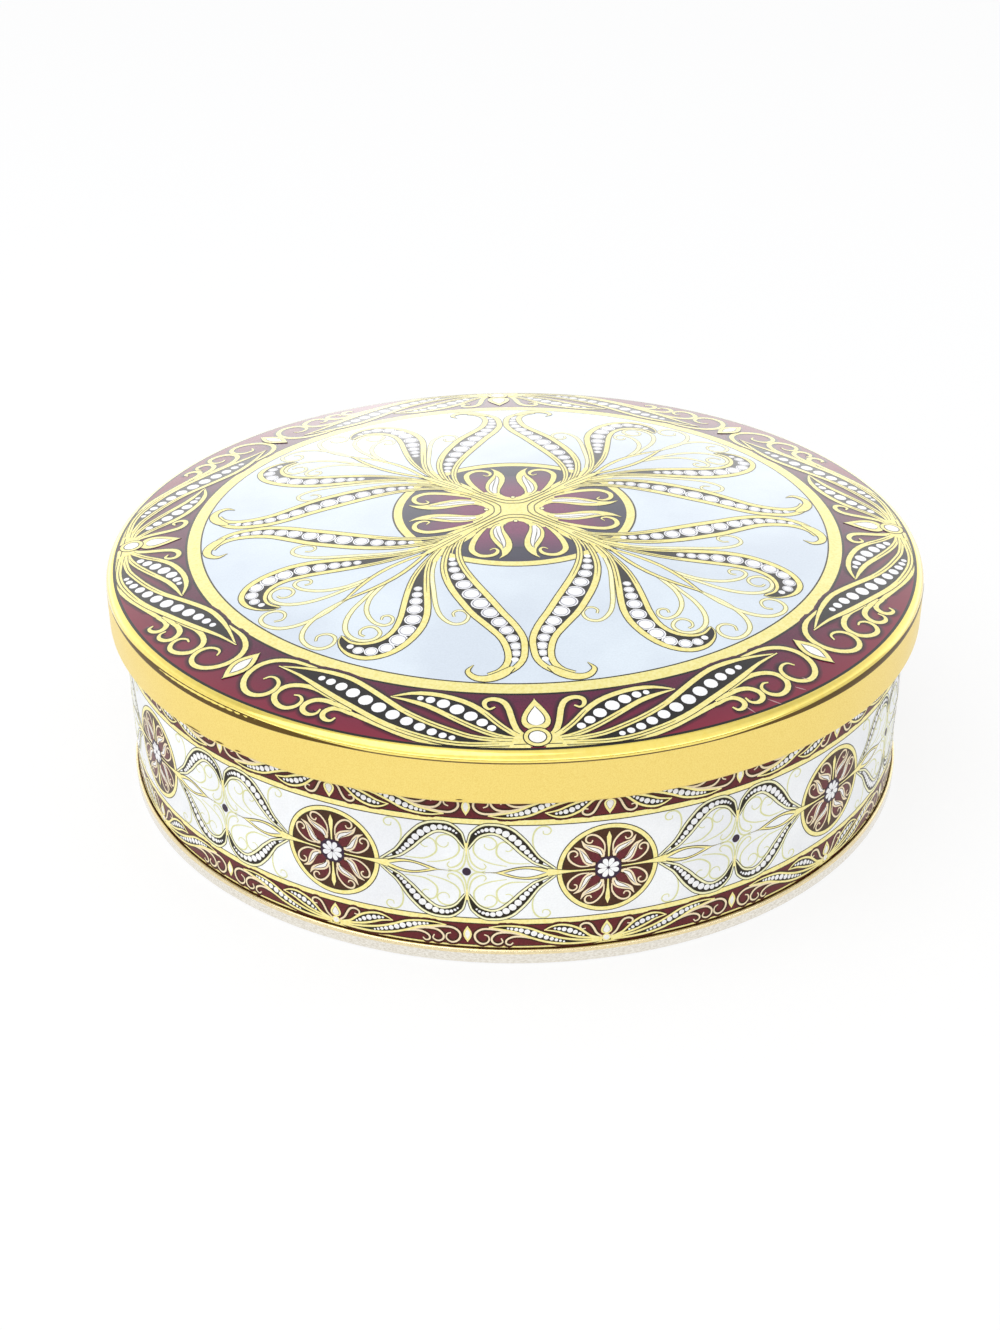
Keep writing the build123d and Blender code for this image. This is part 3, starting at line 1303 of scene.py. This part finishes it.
@dataclass
class Wall:
    """Rolled wall with its mouth curl and lock seam, and the print round it."""

    azimuth: float = 281.45
    units: int = 10
    middle: float = 23.7
    drawn_radius: float = 97.7
    seam_low: float = 4.6
    seam_high: float = 52.15
    seam_depth: float = 0.5
    seam_width: float = 5.0
    foot: float = 0.6
    side_lift: float = 0.0006
    flip_lift: float = 0.0003

    def shell(self) -> None:
        """Builds the wall's sheet, with the print's plain bands as bands of its own faces; the brown band
        just above the seam is partly print and partly painted shade of the crease there.
        """
        piece = Pressing("wall_shell", SIZES.gauge)
        r, top = SIZES.wall_radius, 2 * self.middle
        piece.to([(r, self.foot)], Ink.TIN)
        lower = [
            # The brown band from 3.2 to 3.85 is partly the print's dark edge and partly painted shade for
            # the crease where the wall meets the seam; its mirror image lies near the top.
            (3.2, Ink.TIN), (3.85, Ink.BROWN), (4.25, Ink.WALL_GOLD), (4.45, Ink.WALL_BLACK),
            (9.95, Ink.WALL_BURGUNDY), (10.2, Ink.WALL_BLACK), (11.4, Ink.WALL_GOLD),
            (11.65, Ink.WALL_LINE),
        ]
        upper = [(top - z, ink) for (z, _), (_, ink) in reversed(list(itertools.pairwise(lower)))]
        for z, ink in (*lower, (top - lower[-1][0], Ink.WALL_WHITE), *upper):
            piece.to([(r, z)], ink)
        half = SIZES.mouth_curl / 2
        curl = (r - half, SIZES.wall_height - half)
        piece.to([(r, curl[1])], Ink.TIN)
        piece.to(arc(curl, half, 0, SIZES.curl_sweep, SIZES.curl_steps)[1:], Ink.TIN)
        dress(piece.make(Ink.INSIDE), "tin", "wall_print", "body_wall")

    def seam(self) -> None:
        """Builds the folded strip of the lock seam, inside at the back."""
        bm = bmesh.new()
        inner = SIZES.wall_radius - SIZES.gauge
        back, low, high = inner - self.seam_depth, self.seam_low, self.seam_high
        corners = ((back, low), (inner, low), (inner, high), (back, high))
        verts = [bm.verts.new((r, 0, z)) for r, z in corners]
        angle = self.seam_width / inner
        spin(bm, [bm.faces.new(verts)], angle, 6, False)
        rim = [e for e in bm.edges if e.is_boundary]
        if rim:
            bmesh.ops.holes_fill(bm, edges=rim, sides=0)
        turn = Matrix.Rotation(math.radians(90) - angle / 2, 3, "Z")
        bmesh.ops.rotate(bm, verts=bm.verts, cent=(0, 0, 0), matrix=turn)
        dress(finished("lock_seam", bm, [Ink.INSIDE]), "tin", "bare_tinplate")

    def place(self, drawing: Drawing, name: str) -> None:
        """Repeats one length of the print round the wall and lays it on.

        Args:
            drawing: one length, with its medallion at x = 0.
            name: the piece's name.
        """
        pitch = math.tau * self.drawn_radius / self.units
        drawing.copies([Matrix.Translation((pitch * k, 0, 0)) for k in range(1, self.units)])
        surface = Round(SIZES.wall_radius, self.azimuth, self.drawn_radius)
        dress(drawing.lay(name, surface), "tin", "wall_print")

    def half(self) -> float:
        """Half the length of one repeat of the print."""
        return math.pi * self.drawn_radius / self.units

    def mirrors(self, drawing: Drawing, across: bool = True) -> None:
        """Mirrors a quarter of a length to its left, and top to bottom.

        Args:
            drawing: the drawing of the quarter.
            across: whether it is mirrored top to bottom too.
        """
        drawing.copies([Matrix.Scale(-1, 4, (1, 0, 0))], self.side_lift)
        if across:
            self.flip(drawing)

    def flip(self, drawing: Drawing) -> None:
        """Mirrors a drawing top to bottom about the wall's middle line."""
        shift = Matrix.Translation((0, 2 * self.middle, 0))
        drawing.copies([shift @ Matrix.Scale(-1, 4, (0, 1, 0))], self.flip_lift)

    def at(self, points: Points) -> list[Point]:
        """Moves points measured from a medallion's middle to their height on the wall."""
        return [(x, y + self.middle) for x, y in points]

    def medallions(self) -> None:
        """Draws the round medallions: a flower, petals and curls in a gold ring."""
        mid = self.middle
        ground = Drawing(fine=0.4, level=0.012, rise=0.0)
        ground.ground((0, mid), 10.5, Ink.BROWN)
        ground.level = 0.03
        ground.ring((0, mid), 10.7, 0.68, Pen(Ink.WALL_GOLD, Ink.WALL_LINE, 0.22))
        self.place(ground, "wall_medallion_grounds")
        d = Drawing(fine=0.4, level=0.022, rise=0.002)
        for one, two, fade in (
            ([(1.4, 1.9), (2.6, 4.0), (5.0, 5.6)], [(1.9, 1.4), (4.0, 2.6), (5.6, 5.0)], 1.0),
            ([(1.2, 5.2), (1.9, 7.2), (3.6, 8.4)], [(1.5, 4.6), (3.4, 6.2), (4.8, 7.2)], 0.8),
            ([(5.2, 1.2), (7.2, 1.9), (8.4, 3.6)], [(4.6, 1.5), (6.2, 3.4), (7.2, 4.8)], 0.8),
        ):
            d.between(self.at(one), self.at(two), Ink.WINE, 8, fade)
        petal = [(1.3, 2.9), (1.4, 3.8), (2.3, 4.8), (3.8, 5.5), (5.2, 6.2), (6.0, 7.6)]
        core = [(1.55, 3.5), (2.3, 4.6), (3.8, 5.4), (5.2, 6.3)]
        curl = [
            (0.9, 4.2), (1.0, 6.2), (2.0, 7.9), (3.3, 8.8), (4.6, 8.7), (5.1, 7.8), (4.7, 7.0), (3.9, 6.9),
            (3.6, 7.5),
        ]
        d.level = 0.03
        for path, widths, pen in (
            (curl, (0.12, 0.2, 0.22, 0.2, 0.14), Pen(Ink.PETAL)),
            (petal, (0.3, 0.72, 0.8, 0.7, 0.4, 0.05), Pen(Ink.PETAL)),
            (core, (0.3, 0.52, 0.5, 0.3, 0.05), Pen(Ink.CORE, Ink.BROWN, 0.16)),
        ):
            d.level += 0.004
            for side in (path, [(y, x) for x, y in path]):
                d.stroke(self.at(side), widths, pen)
        self.mirrors(d)
        d.level = 0.055
        for way in (1, -1):
            bar = [(0, mid + way * 2.4), (0, mid + way * 6), (0, mid + way * 9.4)]
            d.stroke(bar, (0.26, 0.3, 0.4, 0.8, 0.05), Pen(Ink.WALL_GOLD, Ink.WALL_LINE, 0.12))
            fork = [(way * 2.4, mid), (way * 6, mid), (way * 9.5, mid), (way * 13.2, mid)]
            d.stroke(fork, (0.26, 0.28, 0.3, 0.36, 0.5, 0.8, 1.1), Pen(Ink.WALL_GOLD, Ink.WALL_LINE, 0.14))
        d.ground((0, mid), 2.95, Ink.PLUM)
        d.level += 0.006
        for a, b in zip(arc((0, mid), 0.2, 22.5, 337.5, 7), arc((0, mid), 2.5, 22.5, 337.5, 7)):
            d.bud(a, b, drop(0.6), Pen(Ink.PEARL), 8)
        d.level += 0.012
        d.disc((0, mid), 0.34, Pen(Ink.PLUM))
        self.place(d, "wall_medallions")

    def vines(self) -> None:
        """Draws the heart-shaped pearl vines, the white buds and the dots between the medallions."""
        d = Drawing(fine=0.5, level=0.012, rise=0.002)
        outer = [
            (11.6, 24.6), (14, 26.7), (15, 27.6), (16, 29), (17.5, 31.3), (19, 33.1), (20.5, 34.6),
            (22.1, 35.5), (23.6, 35.9), (25.2, 36.0), (26.7, 35.9), (28, 35.3), (29, 34.4), (29.8, 33.4),
            (30.5, 30.6),
        ]
        inner = [
            (11.6, 24.2), (14.5, 25.5), (16.2, 26.3), (17.7, 27.6), (19.2, 29), (20.4, 30.4), (21.6, 31.6),
            (22.7, 32.6), (23.9, 33.4), (25.2, 33.7), (26.4, 33.5), (27.6, 33.0), (28.6, 32.1),
            (30.3, 29.6),
        ]
        d.between(outer[1:], inner[1:], Ink.WALL_BLACK, 24)
        d.level = 0.03
        for path in (outer, inner):
            d.stroke(path, (0.36, 0.4, 0.44, 0.44, 0.42, 0.32), Pen(Ink.VINE, Ink.WALL_LINE, 0.18))
        d.pearls([
            (15.5, 26.7, 0.38), (16.2, 27.3, 0.44), (16.9, 28.1, 0.52), (17.7, 29.1, 0.62),
            (18.6, 30.2, 0.72), (19.6, 31.5, 0.8), (20.8, 32.7, 0.84), (22.2, 33.7, 0.82),
            (23.7, 34.4, 0.74), (25.1, 34.7, 0.62), (26.3, 34.65, 0.5), (27.2, 34.4, 0.4),
            (28, 34.0, 0.32), (28.6, 33.5, 0.24),
        ], 0.05)
        self.mirrors(d)
        mid = self.middle
        gold, white = Pen(Ink.WALL_GOLD, Ink.WALL_LINE, 0.2), Pen(Ink.WALL_WHITE, Ink.WALL_LINE, 0.2)
        for way in (1, -1):
            d.level = 0.05
            d.bud((way * 11.6, mid), (way * 27.6, mid), blade(1.75), gold, 20)
            d.level += 0.006
            d.bud((way * 13.4, mid), (way * 22.8, mid), lens(1.2), white)
        half, dot = self.half(), 0.95
        for way in (1, -1):
            tail = [(half, mid + way * 7.4), (half, mid + way * 6), (half, mid + way * 4.4)]
            d.stroke(tail, (0.5, 0.3, 0.2, 0.08), Pen(Ink.WALL_GOLD))
        d.bud((half - dot, mid), (half + dot, mid), whole(1.0), Pen(Ink.PLUM), 12)
        self.place(d, "wall_vines")

    def filigree(self) -> None:
        """Draws the faint scrolls on the white ground."""
        d = Drawing(fine=0.6, level=0.012, rise=0.002)
        thin = (0.1, 0.17, 0.21, 0.17, 0.1)
        for path in (
            [(15.5, 28.5), (16.3, 30.5), (16.5, 32.3), (16.1, 34.2), (15, 35.4), (13.5, 35.5), (12.6, 34.6),
             (13, 33.6), (14.1, 33.6), (14.3, 34.4)],
            [(17.1, 26.1), (20, 26.1), (21.5, 26.3), (23, 27.1), (24.1, 28.3), (24.2, 29.8), (23.6, 31.2),
             (22.4, 31.6), (20.8, 30.1), (21.5, 29.3), (22.3, 29.4)],
            [(22, 25.4), (25.2, 26), (27.7, 27.1), (28.8, 28.2), (29.2, 29.5), (28.7, 31.6), (27, 32.8),
             (25.2, 32.6), (24.2, 31.3), (24.6, 30.1), (25.8, 29.6), (26.7, 30.2), (26.8, 31)],
            [(30.3, 29.5), (30, 27.4), (29.5, 26), (28.4, 24.9), (27.1, 24.5), (26.5, 25.2), (27, 26)],
            [(30.6, 28.6), (30.45, 26.6), (29.9, 25.0), (28.9, 24.0), (27.6, 23.75), (26.6, 24.1)],
        ):
            d.stroke(path, thin, Pen(Ink.FAINT))
        self.mirrors(d)
        self.place(d, "wall_filigree")

    def bands(self) -> None:
        """Draws the lower border of jewels, leaves and scrolls, and its mirror image under the lid."""
        d = Drawing(fine=0.4, level=0.03, rise=0.0015)
        hook = [(1.0, 5.5), (2.2, 6.6), (3, 8.2), (3.8, 9.3), (5, 9.6), (5.9, 9), (5.6, 8.1), (4.7, 8.2)]
        short_high = [
            (1.0, 5.1), (3.5, 6), (5, 7.3), (6.5, 8.5), (8.5, 9.4), (10.5, 9.7), (12.3, 9.3), (13.9, 8.4),
        ]
        short_low = [(1.0, 5.0), (4, 5.6), (6.5, 6.1), (9, 7), (11, 7.9), (13.8, 8.5)]
        long_high = [
            (1.0, 4.8), (5, 5.1), (8, 5.6), (11, 6.4), (14, 7.6), (17, 9), (20, 9.6), (23, 9.7), (26, 9.2),
        ]
        long_low = [(1.0, 4.5), (6, 4.4), (10, 4.6), (13.5, 5.3), (17, 6.6), (20, 8), (23, 8.7), (26, 9.2)]
        scrolls = (
            [(14.5, 5.7), (16, 6.2), (18.5, 6.8), (20.5, 6.8), (22, 6), (22.2, 5), (21.3, 4.6),
             (20.7, 5.2)],
            [(17.5, 6.9), (19, 7.3), (21.5, 7.9), (24, 7.7), (25.3, 6.5), (25.2, 5.3), (24.1, 4.7),
             (23, 5.3), (23.3, 6.3)],
            [(21, 8), (22.5, 8.2), (25, 8.7), (27.5, 8.6), (29, 7.3), (28.8, 5.6), (27.4, 4.7), (26.1, 5.4),
             (26.1, 6.7), (27, 7.2)],
        )
        for path in (hook, short_low, short_high, long_low, long_high, *scrolls):
            d.shadow(path, 0.9, Ink.WALL_SHADED)
        d.level = 0.03
        d.between(short_high[1:-1], short_low[1:-1], Ink.WALL_BLACK, 12)
        d.between(long_high[1:-1], long_low[1:-1], Ink.WALL_BLACK, 16)
        for path in scrolls:
            d.stroke(path, (0.16, 0.24, 0.25, 0.22, 0.14), Pen(Ink.PETAL))
        d.stroke(hook, (0.2, 0.24, 0.25, 0.22, 0.14), Pen(Ink.PETAL))
        for path in (short_low, short_high, long_low, long_high):
            d.stroke(path, (0.24, 0.26, 0.26, 0.24, 0.12), Pen(Ink.WALL_GOLD))
        d.pearls([
            (5.2, 6.4, 0.28), (6, 6.85, 0.42), (7, 7.45, 0.56), (8.2, 8.0, 0.68), (9.5, 8.4, 0.58),
            (10.6, 8.6, 0.44), (11.5, 8.75, 0.3), (9.5, 5.1, 0.26), (10.3, 5.35, 0.34),
            (11.2, 5.65, 0.42), (12.2, 6.0, 0.5), (13.4, 6.45, 0.6), (14.7, 7.0, 0.68),
            (16.1, 7.6, 0.74), (17.6, 8.1, 0.68), (18.9, 8.5, 0.58), (20, 8.75, 0.48), (21, 8.9, 0.38),
            (21.8, 9.0, 0.28),
        ], 0.05)
        self.mirrors(d, False)
        d.level = 0.05
        d.bud((0, 9.9), (0, 6.1), drop(1.4), Pen(Ink.WALL_GOLD, Ink.WALL_BLACK, 0.1), 12)
        d.disc((0, 5.15), 1.1, Pen(Ink.WALL_GOLD, Ink.WALL_BLACK, 0.1))
        half = self.half()
        d.bud((half, 4.9), (half, 9.4), lens(1.05), Pen(Ink.WALL_GOLD, Ink.WALL_BLACK, 0.1), 10)
        d.level += 0.008
        d.bud((0, 8.9), (0, 6.45), drop(0.85), Pen(Ink.CORE, Ink.WALL_LINE, 0.08), 10)
        d.disc((0, 5.15), 0.68, Pen(Ink.CORE))
        d.bud((half, 5.8), (half, 8.5), lens(0.55), Pen(Ink.CORE), 8)
        self.flip(d)
        self.place(d, "wall_bands")

    def build(self) -> None:
        """Builds the whole wall."""
        self.shell()
        self.seam()
        self.medallions()
        self.vines()
        self.filigree()
        self.bands()


# The base


@dataclass
class Base:
    """Recessed base plate with its stiffening bead and the double seam that holds it to the wall."""

    corner: float = 0.4
    # height of the painted reflection band under the seam's top
    gilt: float = 1.0
    hook: float = 1.2

    def build(self) -> None:
        """Builds the plate; the seam's shoulder is tinted warm gold, a painted reflection of the wall's gold
        border.
        """
        piece = Pressing("base_plate_sheet", SIZES.gauge)
        recess = SIZES.base_recess
        half, rise = SIZES.bead_width / 2, SIZES.bead_rise
        bead_in, bead_out = SIZES.bead_radius - half, SIZES.bead_radius + half
        chuck = SIZES.wall_radius - SIZES.gauge - SIZES.fold_gap - SIZES.gauge
        bead = (half**2 + rise**2) / (2 * rise)
        sweep = math.degrees(math.asin(half / bead))
        c = self.corner
        piece.to([(0.0, recess)], Ink.TIN)
        piece.to([(bead_in * k / 4, recess) for k in range(1, 5)], Ink.TIN)
        crest = (SIZES.bead_radius, recess + rise - bead)
        piece.to(arc(crest, bead, 90 + sweep, 90 - sweep, 8)[1:], Ink.TIN)
        piece.to([(bead_out + (chuck - c - bead_out) * k / 3, recess) for k in (1, 2, 3)], Ink.TIN)
        piece.to(arc((chuck - c, recess - c), c, 90, 0, 5)[1:], Ink.TIN)
        piece.to(arc((chuck + c, c), c, 180, 270, 5), Ink.TIN)
        outer = SIZES.seam_radius
        piece.to(arc((outer - c, c), c, 270, 360, 5), Ink.TIN)
        # painted reflection: from here over the seam's shoulder the tin takes the warm tint
        piece.to([(outer, SIZES.seam_height - self.gilt)], Ink.TIN)
        turn = (outer - SIZES.wall_radius - SIZES.fold_gap) / 2
        piece.to(arc((outer - turn, SIZES.seam_height - turn), turn, 0, 180, 8), Ink.SEAM_EDGE)
        piece.to([(outer - 2 * turn, self.hook)], Ink.TIN)
        dress(piece.make(Ink.INSIDE), "tin", "bare_tinplate", "base_plate")


# Light, floor and camera


@dataclass
class Studio:
    """White sweep, soft light and the camera."""

    eye: tuple[float, float, float] = (-3.7, -433.4, 265.4)
    pitch: float = 29.55
    roll: float = -0.00518
    lens: float = 52.45
    sensor: float = 36.0
    near: float = 0.01
    far: float = 20.0
    paint: Linear = (0.93, 0.93, 0.93, 1)
    glow: float = 0.8
    reach: float = 3.0
    sink: float = 0.0001
    fill: Linear = (0.86, 0.865, 0.88, 1)
    white: Linear = (1, 1, 1, 1)

    def camera(self) -> None:
        """Places the camera."""
        data = bpy.data.cameras.new("camera")
        data.lens = self.lens
        data.sensor_width = self.sensor
        data.sensor_fit = "AUTO"
        data.clip_start, data.clip_end = self.near, self.far
        eye = placed("camera", data)
        tilt = math.radians(self.pitch)
        ahead = Vector((0, math.cos(tilt), -math.sin(tilt)))
        up = Vector((0, math.sin(tilt), math.cos(tilt)))
        right = Vector((1, 0, 0))
        x = math.cos(self.roll) * right + math.sin(self.roll) * up
        y = math.cos(self.roll) * up - math.sin(self.roll) * right
        turn = Matrix((x, y, -ahead)).transposed().to_4x4()
        eye.matrix_world = Matrix.Translation(Vector(self.eye) * MM) @ turn
        bpy.context.scene.camera = eye

    def world(self) -> None:
        """Lights the scene from all round, brightest behind the tin, and shows the camera plain white."""
        bpy.context.scene.world = bpy.data.worlds.new("studio")
        tree = Tree(bpy.context.scene.world)
        path = tree.add("LightPath")
        parts = tree.add("SeparateXYZ", {0: (tree.add("TexCoord"), "Generated")})
        back = self.levels(tree, (parts, "Z"), [
            (0.0, 1.8), (0.22, 1.8), (0.3, 1.35), (0.4, 1.35), (0.5, 1.15), (0.56, 0.95), (0.62, 0.75),
            (0.7, 0.55), (0.8, 0.3), (0.92, 0.8), (1.0, 0.9),
        ])
        front = self.levels(tree, (parts, "Z"), [
            (0.0, 0.1), (0.15, 0.3), (0.19, 5.0), (0.22, 5.0), (0.26, 1.2), (0.6, 0.9), (1.0, 0.9),
        ])
        cards = self.levels(tree, tree.span((parts, "X"), -1.0, 1.0), [
            (0.0, 0.55), (0.06, 0.6), (0.1, 1.0), (0.42, 1.0), (0.45, 1.35), (0.48, 1.0), (0.55, 0.85),
            (0.6, 1.0), (0.95, 1.0), (0.97, 0.35), (1.0, 0.35),
        ])
        round_about = tree.mix(tree.span((parts, "Y"), -0.35, 0.15), front, back)
        flagged = tree.mix(1.0, round_about, cards, "MULTIPLY")
        glossy = tree.mix((path, "Is Glossy Ray"), self.fill, flagged)
        seen = tree.mix((path, "Is Camera Ray"), glossy, self.white)
        tree.add("OutputWorld", {"Surface": (tree.add("Background", {"Color": seen}), 0)})

    @staticmethod
    def levels(tree: Tree, source: Output, stops: Sequence[tuple[float, float]]) -> Output:
        """Adds a ramp of grey levels, from places with their levels."""
        return tree.ramp(source, [(place, (level, level, level, 1)) for place, level in stops])

    def floor(self) -> None:
        """Lays the pale floor, which shows white to the camera and in reflections but keeps the shadow."""
        bm = bmesh.new()
        bmesh.ops.create_grid(bm, x_segments=1, y_segments=1, size=self.reach)
        mesh = bpy.data.meshes.new("floor")
        bm.to_mesh(mesh)
        bm.free()
        floor = placed("floor", mesh)
        floor.location.z = -self.sink
        material = bpy.data.materials.new("floor_white")
        tree = Tree(material)
        path = tree.add("LightPath")
        rays = {0: (path, "Is Camera Ray"), 1: (path, "Is Glossy Ray")}
        either = tree.add("Math", rays, operation="MAXIMUM")
        share = tree.add("Math", {0: (either, 0), 1: self.glow}, operation="MULTIPLY")
        paint = tree.add("BsdfDiffuse", {"Color": self.paint})
        glow = tree.add("Emission", {"Strength": 1.0})
        both = tree.add("MixShader", {0: (share, 0), 1: (paint, 0), 2: (glow, 0)})
        tree.add("OutputMaterial", {"Surface": (both, 0)})
        mesh.materials.append(material)

    def lamp(self, name: str, place: Sequence[float], size: float, watts: float) -> None:
        """Hangs a soft square lamp that faces the tin.

        Args:
            name: its name.
            place: where it hangs, in metres.
            size: its side, in metres.
            watts: its power.
        """
        data = bpy.data.lights.new(name, "AREA")
        data.size = size
        data.energy = watts
        lamp = placed(name, data)
        lamp.location = place
        lamp.rotation_euler = (-Vector(place)).to_track_quat("-Z", "Y").to_euler()

    def build(self) -> None:
        """Builds the whole studio."""
        self.camera()
        self.world()
        self.floor()
        self.lamp("key", (-0.5, -0.4, 1.2), 1.2, 7.0)
        bpy.context.scene.view_settings.view_transform = "Standard"


def corners(box: Sequence[Vector]) -> list[list[float]]:
    """The two corners of a box as plain lists."""
    return [list(corner) for corner in box]


def main() -> None:
    """Builds the tin and its studio."""
    logging.basicConfig(level=logging.INFO, format="%(message)s")
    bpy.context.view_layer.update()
    Lid().build()
    Wall().build()
    Base().build()
    Studio().build()
    bpy.context.view_layer.update()


if __name__ == "__main__":
    main()
